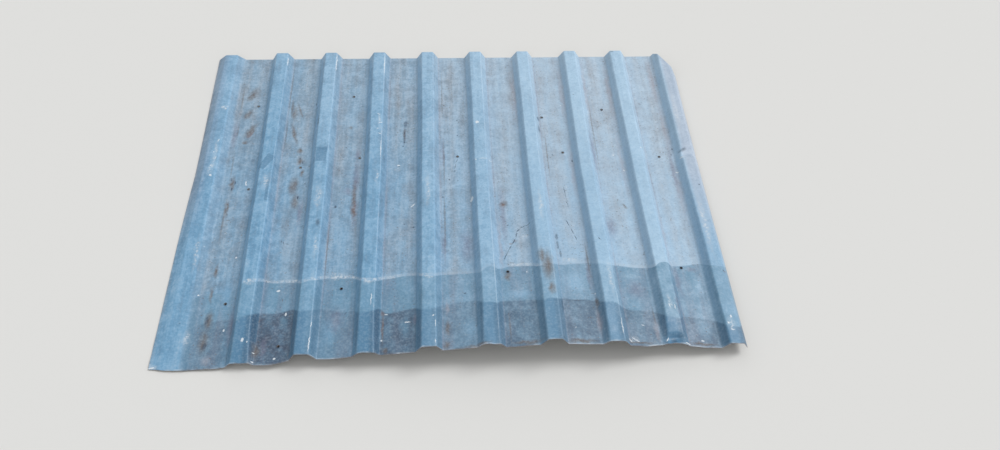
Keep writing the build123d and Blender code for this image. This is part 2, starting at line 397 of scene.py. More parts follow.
class SheetStudio(bpy.types.PropertyGroup):
    """Floor, lamps and camera"""

    floor: tone("Floor", "Pale studio floor", 226, 226, 224)
    backdrop: tone("Backdrop", "What the camera sees past the floor", 228, 228, 226)
    room_level: level("Room light", "Light from all round", 0.59)
    key_level: level("Key light", "Soft light from above on the right", 1.58)
    key_place: position("Key light from", "The key light shines from here to the middle", (2.5, 1.0, 3.0))
    key_softness: angle("Key softness", "How wide the key light is", 28)
    camera_place: position("Camera place", "Where the camera is", (-0.0102, -1.1317, 1.3603))
    camera_heading: angle("Heading", "Turn to the right of straight on", 6.06)
    camera_tilt: angle("Tilt", "How far the camera looks down", 52.59)
    camera_roll: angle("Roll", "How far the camera leans", -3.63)
    camera_lens: bpy.props.FloatProperty(name="Lens", description="Focal length, millimetres",
                                         default=30.6, min=1.0)


class Socket:
    """A node's output that can be added, multiplied and compared as a number can."""

    def __init__(self, graph, output):
        self.graph = graph
        self.output = output

    def worked(self, operation, *others):
        """One step of arithmetic that starts from this number."""
        return self.graph.number(operation, self, *others)

    def __add__(self, other):
        return self.worked("ADD", other)

    __radd__ = __add__

    def __sub__(self, other):
        return self.worked("SUBTRACT", other)

    def __rsub__(self, other):
        return self.graph.number("SUBTRACT", other, self)

    def __mul__(self, other):
        return self.worked("MULTIPLY", other)

    __rmul__ = __mul__

    def __truediv__(self, other):
        return self.worked("DIVIDE", other)

    def __rtruediv__(self, other):
        return self.graph.number("DIVIDE", other, self)

    def __neg__(self):
        return self.worked("MULTIPLY", -1.0)

    def least(self, other):
        return self.worked("MINIMUM", other)

    def most(self, other):
        return self.worked("MAXIMUM", other)

    def clamped(self):
        return self.most(0.0).least(1.0)

    def ramp(self, start, end):
        """0 at start and before it, 1 at end and past it, and smooth between."""
        inputs = {"Value": self, "From Min": start, "From Max": end}
        return self.graph.node("ShaderNodeMapRange", {"interpolation_type": "SMOOTHSTEP"}, inputs)

    def swing(self, amount):
        """A pattern of 0 to 1 as a change of up to half of amount either way."""
        return (self - 0.5) * amount

    def part(self, start, end):
        """How much of the way from start to end this is."""
        return ((self - start) / (end - start)).clamped()

    def band(self, middle, half, soft):
        """1 within half of middle, and 0 from soft further out."""
        return 1 - (self - middle).worked("ABSOLUTE").ramp(half, half + soft)


class Graph:
    """One node tree, which numbers and sockets are wired into."""

    def __init__(self, tree):
        self.tree = tree

    def node(self, kind, settings=None, inputs=None, output=0):
        """Add a node, set it, wire or fill its inputs, and give one of its outputs."""
        made = self.tree.nodes.new(kind)
        for name, value in (settings or {}).items():
            setattr(made, name, value)
        for name, value in (inputs or {}).items():
            if isinstance(value, Socket):
                self.tree.links.new(value.output, made.inputs[name])
            else:
                made.inputs[name].default_value = value
        return Socket(self, made.outputs[output]) if made.outputs else None

    def number(self, operation, *values):
        """One step of arithmetic."""
        return self.node("ShaderNodeMath", {"operation": operation}, dict(enumerate(values)))

    def vector(self, operation, *values, output=0):
        return self.node("ShaderNodeVectorMath", {"operation": operation}, dict(enumerate(values)), output)

    def join(self, x, y, z):
        return self.node("ShaderNodeCombineXYZ", inputs={"X": x, "Y": y, "Z": z})

    def split(self, vector):
        parts = self.node("ShaderNodeSeparateXYZ", inputs={"Vector": vector}).output.node.outputs
        return [Socket(self, part) for part in parts]


class PaintGraph(Graph):
    """The node tree of one finish, with patterns laid out in millimetres on the flat sheet."""

    def __init__(self, name, sizes):
        self.material = bpy.data.materials.new(name)
        self.material.use_nodes = True
        super().__init__(self.material.node_tree)
        self.tree.nodes.clear()
        point = self.node("ShaderNodeTexCoord", output="Object")
        # Across from the middle of the rolled width, from the back edge, and always 1
        start = (-middle_of_rolled_width(sizes) / MM, sizes.sheet_length / 2 / MM, 1.0)
        inputs = {"Vector": point, "Location": start, "Scale": (1 / MM, -1 / MM, 0.0)}
        self.sheet = self.node("ShaderNodeMapping", inputs=inputs)
        self.bulk = self.node("ShaderNodeMapping", inputs={"Vector": point, "Scale": (1 / MM,) * 3})
        # The same place once more, for all the marks
        self.flat = self.vector("ADD", self.sheet, (0.0, 0.0, 0.0))
        self.across, self.from_back, _ = self.split(self.flat)

    def grain(self, size, detail=2.0, longer=1.0, roughness=0.5, output="Fac", in_space=False):
        """Smooth noise about size millimetres wide, 0 to 1, and longer along the ribs."""
        place = self.bulk if in_space else self.sheet
        if longer != 1.0:
            inputs = {"Vector": self.sheet, "Scale": (1.0, 1 / longer, 1.0)}
            place = self.node("ShaderNodeMapping", inputs=inputs)
        inputs = {"Vector": place, "Scale": 1.0 / size, "Detail": detail, "Roughness": roughness}
        settings = {"noise_dimensions": "3D" if in_space else "2D"}
        return self.node("ShaderNodeTexNoise", settings, inputs, output)

    def wandered(self, size, reach):
        """The flat place, shifted by up to reach millimetres, so that outlines come out ragged."""
        shift = self.grain(size, 3.0, output="Color")
        start = self.vector("SUBTRACT", self.flat, (reach, reach, 0.0))
        return self.vector("MULTIPLY_ADD", shift, (2 * reach, 2 * reach, 0.0), start)

    def away(self, where, across, from_back, half_width, half_length, turn=0.0):
        """How far a place is from a mark's middle, where 1 is the mark's outline."""
        if not turn:
            scale = (1 / half_width, 1 / half_length, 0.0)
            back = (-across / half_width, -from_back / half_length, 0.0)
            return self.vector("LENGTH", self.vector("MULTIPLY_ADD", where, scale, back), output="Value")
        cos, sin = math.cos(math.radians(turn)), math.sin(math.radians(turn))
        widthways = (cos / half_width, sin / half_width, -(cos * across + sin * from_back) / half_width)
        lengthways = (-sin / half_length, cos / half_length,
                      (sin * across - cos * from_back) / half_length)
        x = self.vector("DOT_PRODUCT", where, widthways, output="Value")
        y = self.vector("DOT_PRODUCT", where, lengthways, output="Value")
        return self.vector("LENGTH", self.join(x, y, 0.0), output="Value")

    def marks(self, places, where, soft):
        """1 inside any of the marks, fading to 0 at their outlines over soft of their size."""
        nearest = self.away(where, *places[0])
        for place in places[1:]:
            nearest = nearest.least(self.away(where, *place))
        return nearest.ramp(1.0, 1.0 - soft)

    def patch(self, across, from_back, half_width, half_length, turn):
        """1 inside a mark with straight sides, fading to 0 near its outline."""
        cos, sin = math.cos(math.radians(turn)), math.sin(math.radians(turn))
        widthways = (cos, sin, -(cos * across + sin * from_back))
        lengthways = (-sin, cos, sin * across - cos * from_back)
        x = self.vector("DOT_PRODUCT", self.flat, widthways, output="Value")
        y = self.vector("DOT_PRODUCT", self.flat, lengthways, output="Value")
        reach = (x.worked("ABSOLUTE") / half_width).most(y.worked("ABSOLUTE") / half_length)
        return reach.ramp(1.0, 1.0 - PATCH_SOFT)

    def curve(self, points, low=0, high=1):
        """A number between low and high, read across the sheet off a smooth line through the points."""
        start, end = points[0][0], points[-1][0]
        reached = self.across.part(start, end)
        node = self.tree.nodes.new("ShaderNodeFloatCurve")
        line = node.mapping.curves[0]
        placed = [((x - start) / (end - start), (y - low) / (high - low)) for x, y in points]
        line.points[0].location = placed[0]
        line.points[1].location = placed[-1]
        for x, y in placed[1:-1]:
            line.points.new(x, y)
        for point in line.points:
            point.handle_type = "AUTO_CLAMPED"
        node.mapping.update()
        self.tree.links.new(reached.output, node.inputs["Value"])
        return Socket(self, node.outputs[0]) * (high - low) + low

    def tint(self, factor, first, second, blend="MIX"):
        """Mix two colours; a colour is three numbers or a socket."""
        settings = {"data_type": "RGBA", "blend_type": blend}
        filled = [c if isinstance(c, Socket) else (*c, 1.0) for c in (first, second)]
        return self.node("ShaderNodeMix", settings, {0: factor, 6: filled[0], 7: filled[1]}, 2)

    def finish(self, colour, roughness, height):
        """Put the shader on, with its bump in millimetres of height."""
        lift = {"Height": height, "Distance": MM, "Strength": 1.0}
        normal = self.node("ShaderNodeBump", inputs=lift)
        inputs = {"Base Color": colour, "Roughness": roughness, "Normal": normal}
        shader = self.node("ShaderNodeBsdfPrincipled", inputs=inputs)
        self.node("ShaderNodeOutputMaterial", inputs={"Surface": shader})


class WornPaint(PaintGraph):
    """The painted side: its fresh paint, its colour so far, and the patterns that its layers share."""

    def __init__(self, name, sizes):
        super().__init__(name, sizes)
        self.fresh = None
        self.colour = None
        pitch = sizes.cover_width / (sizes.rib_count - 1) / MM
        self.rise = self.stored("rise").clamped()
        self.pan = 1 - self.rise.ramp(0.0, 0.35)
        self.crest = self.rise.ramp(0.72, 0.98)
        self.side = 1 - self.pan - self.crest
        phase = (self.across / pitch + 1.0).worked("FRACT")
        self.off_rib = (phase - 0.5) * pitch
        self.right = self.off_rib.ramp(2, 10)

        self.cloud = self.grain(150, 3.0)
        self.patches = self.grain(34, 4.0, roughness=0.62, in_space=True)
        self.blotch = self.grain(13, 5.0, roughness=0.68, in_space=True)
        self.fine = self.grain(6.5, 4.0, roughness=0.7, in_space=True)
        self.dots = self.grain(3.8, 1.0, in_space=True)
        self.wash = self.grain(9, 4.0, longer=16.0, roughness=0.6)
        self.runs = self.grain(26, 3.0, longer=9.0)
        self.ragged = self.wandered(4.5, 1.9)
        self.torn = self.wandered(16, 5.0)

    def stored(self, name):
        """A number that the mesh carries at each point."""
        return self.node("ShaderNodeAttribute", {"attribute_name": name}, output="Fac")

    def lay(self, cover, colour):
        """Lay a colour over the paint, as thickly as cover says."""
        self.colour = self.tint(cover, self.colour, colour)

    def stain(self, places, where, soft, pattern, strength, colour):
        """Lay a colour on marks as far as a pattern lets it through, and give where it lies."""
        shown = self.marks(places, where, soft) * pattern
        self.lay(shown * strength, colour)
        return shown


def middle_of_rolled_width(sizes):
    """How far the middle of the rolled width lies right of the middle of the outline."""
    rise = sizes.rib_depth - sizes.gauge
    run = (sizes.rib_foot - sizes.crest_width) / 2
    side = math.hypot(run, rise)
    trodden = math.sqrt(side ** 2 - (rise * sizes.first_rib_front) ** 2)
    left = sizes.crest_width + 2 * trodden - sizes.rib_foot / 2
    right = sizes.crest_width / 2 + run * sizes.outer_side
    return (left - right) / 2


def rib_middle(sizes, rib):
    """How far right of the outline's middle a rib's middle lies."""
    pitch = sizes.cover_width / (sizes.rib_count - 1)
    return middle_of_rolled_width(sizes) + (rib - (sizes.rib_count - 1) / 2) * pitch


def stepped(graph, step, runs, stops):
    """A number that goes from stop to stop, each stretch over its own count of steps."""
    reached = stops[0]
    start = 0
    for count, low, high in zip(runs, stops, stops[1:]):
        reached = reached + ((step - start) / count).clamped() * (high - low)
        start += count
    return reached


def rolled_sheet_tree(columns, rows):
    """Geometry Nodes that roll the ribs into a flat grid and lift its front into an arch."""
    tree = bpy.data.node_groups.new("Rolled sheet", "GeometryNodeTree")
    tree.interface.new_socket("Geometry", in_out="OUTPUT", socket_type="NodeSocketGeometry")
    names = [name.replace("_", " ").title() for name in TREE_SIZES] + ["Middle"]
    for name in names:
        tree.interface.new_socket(name, in_out="INPUT", socket_type="NodeSocketFloat")
    tree.interface.new_socket("Paint", in_out="INPUT", socket_type="NodeSocketMaterial")
    graph = Graph(tree)
    given = tree.nodes.new("NodeGroupInput").outputs
    (cover, ribs, depth, foot, crest, gauge, radius, outer_side, long, bent_long, arch_rise, arch_rib,
     reach_left, reach_right, first_back, first_front, centre) = [Socket(graph, given[n]) for n in names]

    grid = {"Size X": 1.0, "Size Y": 1.0, "Vertices X": columns + 1, "Vertices Y": rows + 1}
    at_x, at_y, _ = graph.split(graph.node("GeometryNodeInputPosition"))
    column = (at_x + 0.5) * columns
    row = (0.5 - at_y) * rows

    from_back = stepped(graph, row, [count for count, _ in ROW_RUNS], row_stops(long))
    hinge = long - bent_long
    bent = (from_back - hinge) / bent_long

    rib = ((column + NUDGE) / sum(COLUMN_RUNS)).worked("FLOOR")
    step = column - rib * sum(COLUMN_RUNS)
    first = rib.worked("LESS_THAN", 0.5)
    last = rib.worked("GREATER_THAN", ribs - 1.5)
    pitch = cover / (ribs - 1)
    middle = (rib - (ribs - 1) / 2) * pitch + centre
    full_rise = depth - gauge
    full_run = (foot - crest) / 2
    side = (full_run * full_run + full_rise * full_rise).worked("SQRT")
    left_in_first = first_back + (first_front - first_back) * bent.clamped()
    rise = full_rise * (1 - first * (1 - left_in_first))
    run = (side * side - rise * rise).worked("SQRT")
    right = middle + foot / 2
    left = right - crest - run * 2
    next_left = middle + pitch - foot / 2
    turn = radius * BEND_REACH
    end = right - turn + last * (turn - run * (1 - outer_side))
    stops = [left - turn * (1 - first), left + turn, left + run - turn, left + run + turn,
             right - run - turn, right - run + turn, end, right + turn, next_left - turn]
    x = stepped(graph, step, COLUMN_RUNS, stops)

    soft = turn / run
    up = ((x - left) / run).least((right - x) / run)
    height = up.worked("SMOOTH_MIN", 1.0, soft).worked("SMOOTH_MAX", 0.0, soft)
    offset = x - centre - (arch_rib - (ribs - 1) / 2) * pitch
    reach = (offset / reach_right).clamped() + (offset / -reach_left).clamped()
    swell = (reach * (math.pi / 2)).worked("COSINE")
    lift = arch_rise * bent.worked("SMOOTH_MAX", 0.0, ARCH_EASE).least(1.0) * swell * swell
    z = gauge / 2 + rise * height + lift

    shaped = graph.node("GeometryNodeMeshGrid", inputs=grid)
    for name, value in (("rise", height), ("over_pan", rise * height), ("from_back", from_back)):
        kept = {"Geometry": shaped, "Name": name, "Value": value}
        shaped = graph.node("GeometryNodeStoreNamedAttribute", {"data_type": "FLOAT"}, kept)
    place = {"Geometry": shaped, "Position": graph.join(x, long / 2 - from_back, z)}
    shaped = graph.node("GeometryNodeSetPosition", inputs=place)
    whole = graph.node("GeometryNodeRealizeInstances", inputs={"Geometry": shaped})
    coat = Socket(graph, given["Paint"])
    painted = graph.node("GeometryNodeSetMaterial", inputs={"Geometry": whole, "Material": coat})
    tree.links.new(painted.output, tree.nodes.new("NodeGroupOutput").inputs[0])
    return tree


def row_stops(long):
    """Distances from the back edge at which the spacing of the rows changes."""
    parts = [part for _, part in ROW_RUNS]
    return [long * sum(parts[:count]) for count in range(len(parts) + 1)]


def roll_sheet(sizes, paint):
    """The sheet's middle surface as a plain mesh, rolled and arched by the node tree."""
    columns = sum(COLUMN_RUNS) * (sizes.rib_count - 1) + LAST_RIB_COLUMNS
    rows = sum(count for count, _ in ROW_RUNS)
    tree = rolled_sheet_tree(columns, rows)
    given = [getattr(sizes, name) for name in TREE_SIZES] + [middle_of_rolled_width(sizes), paint]
    sockets = [item for item in tree.interface.items_tree if item.in_out == "INPUT"]
    blank = bpy.data.objects.new("rolled_blank", bpy.data.meshes.new("rolled_blank"))
    bpy.context.collection.objects.link(blank)
    modifier = blank.modifiers.new("Rolled sheet", "NODES")
    modifier.node_group = tree
    for socket, value in zip(sockets, given):
        modifier[socket.identifier] = float(value) if isinstance(value, int) else value
    mesh = plain_mesh(blank)
    bpy.data.objects.remove(blank)
    mesh.materials.clear()
    mesh.materials.append(paint)
    return mesh


def plain_mesh(piece):
    """The piece as its modifiers leave it, as a mesh of its own."""
    bpy.context.view_layer.update()
    seen = piece.evaluated_get(bpy.context.evaluated_depsgraph_get())
    mesh = bpy.data.meshes.new_from_object(seen)
    mesh.name = piece.name
    return mesh


def ease(values, start, end):
    """0 up to start, 1 from end on, and smooth between, for an array."""
    reached = np.clip((values - start) / (end - start), 0.0, 1.0)
    return reached * reached * (3 - 2 * reached)


def waves(points, across, along, which):
    """Smooth noise between -1 and 1 at each point, with its own spacing each way."""
    return np.array([noise.noise(Vector((p[0] * across, p[1] * along, which))) for p in points])


def per_vertex(mesh, name):
    """A number that the mesh stores at each vertex, as an array."""
    values = np.empty(len(mesh.vertices))
    mesh.attributes[name].data.foreach_get("value", values)
    return values


def wear_shape(mesh, sizes):
    """Crush the rib ends, dent the crests and let the flat metal wander a little."""
    points = np.empty(len(mesh.vertices) * 3)
    mesh.vertices.foreach_get("co", points)
    points = points.reshape(-1, 3)
    over_pan = per_vertex(mesh, "over_pan")
    rise = per_vertex(mesh, "rise")
    from_back = sizes.sheet_length / 2 - points[:, 1]
    pitch = sizes.cover_width / (sizes.rib_count - 1)
    slow = waves(points, *SLOW_WAVES)
    quick = waves(points, *QUICK_WAVES)

    drop = np.zeros(len(points))
    for rib, left_share, start in CRUSHED_ENDS:
        off = points[:, 0] - rib_middle(sizes, rib)
        near = np.abs(off) < pitch / 2
        crushed = ease(from_back, start, sizes.sheet_length + CRUSHED_PAST) * near
        drop += over_pan * (1 - left_share) * crushed
        drop += rise * crushed * quick * BUCKLE
        points[:, 0] += off * crushed * rise * (1 - left_share) * SPREAD
    for rib, place, back, front, depth in CREST_DENTS:
        near = np.abs(points[:, 0] - rib_middle(sizes, rib)) < sizes.rib_foot / 2
        along = ease(from_back, (place - back) * MM, place * MM)
        along *= 1 - ease(from_back, place * MM, (place + front) * MM)
        drop += depth * MM * along * near * rise * (0.85 + 0.6 * quick)
    drop = np.minimum(drop, over_pan * MOST_CRUSHED)
    points[:, 2] -= drop

    front = ease(from_back, WAVES_FROM, sizes.sheet_length)
    points[:, 2] += (0.5 + 0.5 * slow) * PAN_LIFT * (1 - rise * 0.6)
    points[:, 2] += (0.6 + quick) * FRONT_LIFT * front * (1 - rise)
    across = (points[:, 0] - middle_of_rolled_width(sizes)) / MM
    drift = np.interp(across, *np.array(EDGE_DRIFT).T) * MM + slow * EDGE_SLOW + quick * EDGE_QUICK
    points[:, 1] -= drift * ease(from_back, DRIFT_FROM, sizes.sheet_length)
    points[:, 0] += slow * SIDEWAYS
    mesh.vertices.foreach_set("co", points.ravel())
    mesh.update()


def snip_corner(shell, sizes):
    """Cut the back corner of the last rib off along a slanting line."""
    corner = rib_middle(sizes, sizes.rib_count - 1) + sizes.crest_width / 2
    corner += (sizes.rib_foot - sizes.crest_width) / 2 * sizes.outer_side
    on_back = Vector((corner - sizes.snip_across, sizes.sheet_length / 2, 0.0))
    outward = Vector((sizes.snip_along, sizes.snip_across, 0.0)).normalized()
    parts = shell.verts[:] + shell.edges[:] + shell.faces[:]
    bmesh.ops.bisect_plane(shell, geom=parts, plane_co=on_back, plane_no=outward, clear_outer=True)


def punch_hole(shell, surface, middle, radius, lift):
    """Replace the metal round one nail by rings that rise to a round hole."""
    reach = radius * HOLE_PATCH
    patch = [f for f in shell.faces if (f.calc_center_median().xy - middle).length < reach]
    inside = set(patch)
    loose = [e for f in patch for e in f.edges if len([g for g in e.link_faces if g in inside]) == 1]
    ring = ordered_loop(loose)
    kept = [shell.verts.layers.float[name] for name in ("rise", "from_back")]
    levels = [sum(v[layer] for v in ring) / len(ring) for layer in kept]
    bmesh.ops.delete(shell, geom=patch, context="FACES")
    outer = ring
    for way_in in HOLE_RINGS:
        inner = []
        for rim in ring:
            away = (rim.co.xy - middle).normalized() * radius
            spot = rim.co.xy.lerp(middle + away, way_in)
            hit = surface.ray_cast(Vector((*spot, OVERHEAD)), Vector((0.0, 0.0, -1.0)))[0]
            distance = (spot - middle).length / radius
            bulge = lift * math.exp(-HOLE_FALL * (distance - 1))
            made = shell.verts.new((*spot, hit.z + bulge))
            for layer, value in zip(kept, levels):
                made[layer] = value
            inner.append(made)
        for k in range(len(ring)):
            after = (k + 1) % len(ring)
            shell.faces.new((outer[k], outer[after], inner[after], inner[k])).smooth = True
        outer = inner


def ordered_loop(edges):
    """The vertices of one closed run of edges, in order."""
    linked = {}
    for edge in set(edges):
        for vertex in edge.verts:
            linked.setdefault(vertex, []).append(edge.other_vert(vertex))
    start = edges[0].verts[0]
    run = [start, linked[start][0]]
    while True:
        following = [v for v in linked[run[-1]] if v is not run[-2]]
        if following[0] is start:
            return run
        run.append(following[0])


def cut_sheet(mesh, sizes):
    """Snip the corner and punch the nail holes in the middle surface."""
    shell = bmesh.new()
    shell.from_mesh(mesh)
    snip_corner(shell, sizes)
    surface = BVHTree.FromBMesh(shell)
    centre = middle_of_rolled_width(sizes)
    for across, from_back in NAIL_HOLES:
        middle = Vector((centre + across * MM, sizes.sheet_length / 2 - from_back * MM))
        punch_hole(shell, surface, middle, sizes.nail_hole / 2, sizes.nail_lift)
    bmesh.ops.delete(shell, geom=[v for v in shell.verts if not v.link_faces], context="VERTS")
    bmesh.ops.recalc_face_normals(shell, faces=shell.faces[:])
    if sum(face.normal.z for face in shell.faces) < 0:
        bmesh.ops.reverse_faces(shell, faces=shell.faces[:])
    shell.to_mesh(mesh)
    shell.free()


def thicken(piece, gauge):
    """Give the middle surface its steel thickness, with the underside and the rim in their own finish."""
    wall = piece.modifiers.new("Steel thickness", "SOLIDIFY")
    wall.thickness = gauge
    wall.offset = 0.0
    wall.use_even_offset = True
    wall.material_offset = 1
    wall.material_offset_rim = 2
    solid = plain_mesh(piece)
    piece.modifiers.clear()
    piece.data = solid
    solid.attributes.remove(solid.attributes["over_pan"])
    solid.shade_smooth()
    solid.set_sharp_from_angle(angle=math.radians(SHARP))


# The layers of the paint, from the first to the last. Places and distances are millimetres on the flat
# sheet, and the other numbers are shares of 1.
def fade_and_light_paint(paint, finish):
    """Blue that goes paler to the back right, partly chalked and partly a painted fall of light, lilac on
    the last rib and stained on the first side.
    """
    across, from_back = paint.across, paint.from_back
    # Painted light: paler to the right and to the back, standing in for the fall of light as well as for
    # chalking
    chalk_and_light = paint.curve(CHALK_AND_LIGHT) + from_back.part(480, 0) * 0.36 - 0.15
    chalk_and_light = chalk_and_light - across.ramp(470, 490) * from_back.ramp(340, 540) * 0.55
    chalk_and_light = chalk_and_light + paint.cloud.swing(0.4) + paint.wash.swing(0.6) + paint.patches.swing(0.3)
    paint.fresh = paint.tint(chalk_and_light.clamped(), finish.blue_left, finish.blue_right)
    paint.colour = paint.fresh
    lilac = across.ramp(484, 496) * from_back.part(600, 380)
    paint.lay(lilac * 0.75, finish.edge_blue)
    flank = across.ramp(-500, -525) * from_back.ramp(560, 380)
    paint.lay(flank * 0.4, finish.purple)


def settle_dust(paint, finish):
    """Dust in the pans and on the right sides of the ribs, earthy in places, and paler to the right partly
    as painted light.
    """
    # Painted light in part: the dust colour is paler to the right
    colour = paint.tint(paint.across.ramp(-300, 360), finish.dust_left, finish.dust_right)
    warm = (paint.cloud - 0.45 + paint.patches.swing(0.6) + paint.runs.swing(0.7)).clamped() * 1.5
    warm = warm.least(0.55) + paint.across.ramp(-385, -420) * 0.2
    colour = paint.tint(warm, colour, finish.warm_dust)
    dust = 0.56 + paint.patches.swing(0.6) + paint.runs.swing(0.8)
    dust = (dust - paint.from_back.ramp(150, 600) * 0.2).clamped()
    dust = dust * (paint.pan * 0.88 + 0.08 + paint.side * paint.right * 0.3)
    paint.lay(dust, colour)
    return dust


def cloud_paint(paint, finish):
    """Darker and paler clouds, calmer to the right."""
    calm = 1.1 - paint.across.ramp(-60, 240) * 0.64
    clouds = (paint.patches.swing(1.7) + paint.blotch.swing(1.2) + paint.wash.swing(1.3)) * calm
    paint.lay((clouds + 0.2).clamped(), paint.tint(1.0, paint.colour, CLOUDED, "MULTIPLY"))
    paint.lay((0.05 - clouds).clamped() * 0.22, finish.chip_and_highlight)


def mark_laps(paint, finish):
    """Darker paint where it was once covered, and dirt past a second edge."""
    patches, blotch, pan = paint.patches, paint.blotch, paint.pan
    edge_at = paint.curve(LAP_EDGE, 600, 700) + paint.rise * 15 + patches.swing(5)
    past_edge = paint.from_back - edge_at
    lapped = past_edge.ramp(-1.5, 1.5) * paint.curve(LAP_CLEARNESS)
    paint.lay(lapped * (0.74 + patches.swing(1.1) + blotch.swing(0.5)).clamped(), finish.lapped_blue)
    paint.lay(lapped * pan * (paint.runs * 1.2 - 0.52).clamped(), finish.purple)
    second_at = paint.curve(SECOND_EDGE, 600, 800) + paint.rise * 16 + patches.swing(7)
    clear = paint.curve(SECOND_EDGE_CLEARNESS)
    covered = (paint.from_back - second_at).ramp(-2, 3) * clear
    pan_dirt = covered * pan * (0.74 + blotch.swing(1.3) + patches.swing(1.1)).clamped()
    paint.lay(pan_dirt, finish.lap_dirt)
    paint.lay(covered * (1 - pan) * 0.8, finish.deep_blue)
    return past_edge, lapped, covered


def shade_ribs(paint, finish, lapped, covered):
    """Ribs darker on their sides and right crests where they were covered and on their right sides where
    lapped, painted light and shade on the sides by which way they face, a band of dirt and painted crease
    shade beside the left feet, and paler paint at the left feet as painted light.
    """
    side, right = paint.side, paint.right
    darker_where_covered = side * 0.4 + right * (paint.crest * 0.3 + side * 0.12)
    paint.lay(covered * darker_where_covered, finish.shade)
    paint.lay(side * right * lapped * 0.14, finish.shade)
    # Painted light and shade: right sides paler toward the right of the sheet, right sides shaded toward
    # the left, left sides shaded toward the right
    rightward = paint.across.ramp(-160, 180)
    paint.lay(side * right * (1 - lapped) * rightward * 0.07, finish.chip_and_highlight)
    painted_shade_sides = right + rightward - right * rightward * 2
    # A darker band beside each left foot, of dirt and painted crease shade
    gutter_dirt_and_shade = paint.off_rib.band(GUTTER, 4, 7) * (paint.runs * 0.18 - 0.02)
    paint.lay(side * painted_shade_sides * 0.12 + gutter_dirt_and_shade, finish.shade)
    # Painted light: paler paint at the left feet, lifting the shade there
    foot = paint.off_rib.band(LEFT_FOOT, 4, 4) * (0.24 - covered * 0.18)
    paint.lay(foot, paint.fresh)


def line_with_lime(paint, finish, past_edge, covered):
    """Cleaner patches, and the white line of lime along the edge of the covered paint."""
    clean = paint.marks(CLEAN_PATCHES, paint.torn, 0.9) * (0.3 + paint.patches * 0.4)
    paint.lay(clean, paint.tint(covered, paint.fresh, finish.lapped_blue))
    lime = paint.curve(LIME) * (paint.fine * 2.6 + paint.dots * 1.6 - 1.8).clamped()
    paint.lay(past_edge.band(-3.4, 1.4, 4.2) * lime * 0.85, finish.chip_and_highlight)


def wear_and_highlight_corners(paint, finish, covered):
    """Stain along the right feet of the ribs, and pale lines along the right corners of their crests, of
    worn paint and painted highlight.
    """
    foot = paint.off_rib.band(RIGHT_FOOT, 0.5, 1.9) * (paint.runs * 1.8 - 0.45).clamped()
    foot = foot * (1 - covered * 0.6) * paint.across.ramp(-470, -440)
    paint.lay(foot * 0.42, finish.purple)
    # Painted highlight and wear: broken pale lines along the right crest corners
    broken = (paint.wash * 2.4 + paint.blotch * 2.8 - 2.3).clamped()
    corner = paint.off_rib.band(RIGHT_CORNER, 0.1, 1.3) * broken
    corner = corner * paint.curve(CORNER_WEAR_AND_SHINE) * (1 - covered * 0.7)
    paint.lay(corner * 0.62, finish.chip_and_highlight)


def stain_paint(paint, finish):
    """Pinkish dust, stains, soil, painted shade in pressed patches, scuffs, smears with painted shade in
    some dents, and rust, each at its own places.
    """
    blotch, fine, wash = paint.blotch, paint.fine, paint.wash
    torn, ragged = paint.torn, paint.ragged
    dusty = (0.25 + blotch * 0.5 + paint.runs * 0.5).clamped()
    paint.stain(PINK_BANDS, torn, 0.95, dusty, 0.55, finish.pink)
    old = (fine * 0.5 + blotch * 0.6 + 0.1).clamped()
    paint.stain(PURPLE_STAINS, torn, 0.95, old, 0.8, finish.purple)
    paint.stain(DIRT_STREAKS, ragged, 0.95, (wash * 1.3).clamped(), 0.75, finish.brown)
    earthy = (fine * 1.1 + wash * 0.8 - 0.1).clamped()
    brown = paint.stain(BROWN_DIRT, torn, 0.95, earthy, 0.85, finish.brown)
    # Painted shade in the pressed, dented patches
    for mark in PRESSED_SHADE:
        paint.lay(paint.patch(*mark) * 0.62, finish.deep_blue)
    chalky = (fine * 2.8 + paint.dots * 2.4 - 2.25).clamped()
    paint.stain(PALE_SCUFFS, torn, 0.95, chalky, 0.72, finish.chip_and_highlight)
    # Dark smears, and painted shade in the hollow of rib 8 and the kink of the last rib
    paint.stain(DARK_SMEARS_AND_SHADE, ragged, 0.7, 0.3 + blotch * 0.7, 0.8, finish.shade)
    rusted = paint.stain(RUST_SPOTS, torn, 0.9, (fine * 1.8 - 0.3).clamped(), 0.65, finish.rust)
    return brown, rusted


def speckle_paint(paint, finish, covered):
    """Fine dark and pale specks all over, and grains of grit, soil and lime."""
    specked = paint.fine.swing(1.1) + paint.dots.swing(1.5)
    speckled = paint.tint(1.0, paint.colour, SPECKLED, "MULTIPLY")
    paint.lay((specked + 0.04).clamped() * 0.52, speckled)
    paint.lay((0.04 - specked).clamped() * 0.2, finish.chip_and_highlight)
    grit = paint.dots.ramp(0.7, 0.8) * (paint.pan * 0.5 + 0.12)
    paint.lay(grit * 0.4, finish.shade)
    soil = paint.grain(3.1, 1.0, in_space=True).ramp(0.66, 0.76) * paint.pan
    soil = soil * (paint.runs * 2.4 + paint.patches * 1.8 - 1.4).clamped()
    paint.lay(soil * 0.8, finish.brown)
    lime = paint.grain(4.2, 1.0, in_space=True).ramp(0.76, 0.86) * (0.3 - covered * 0.2)
    paint.lay(lime, finish.chip_and_highlight)


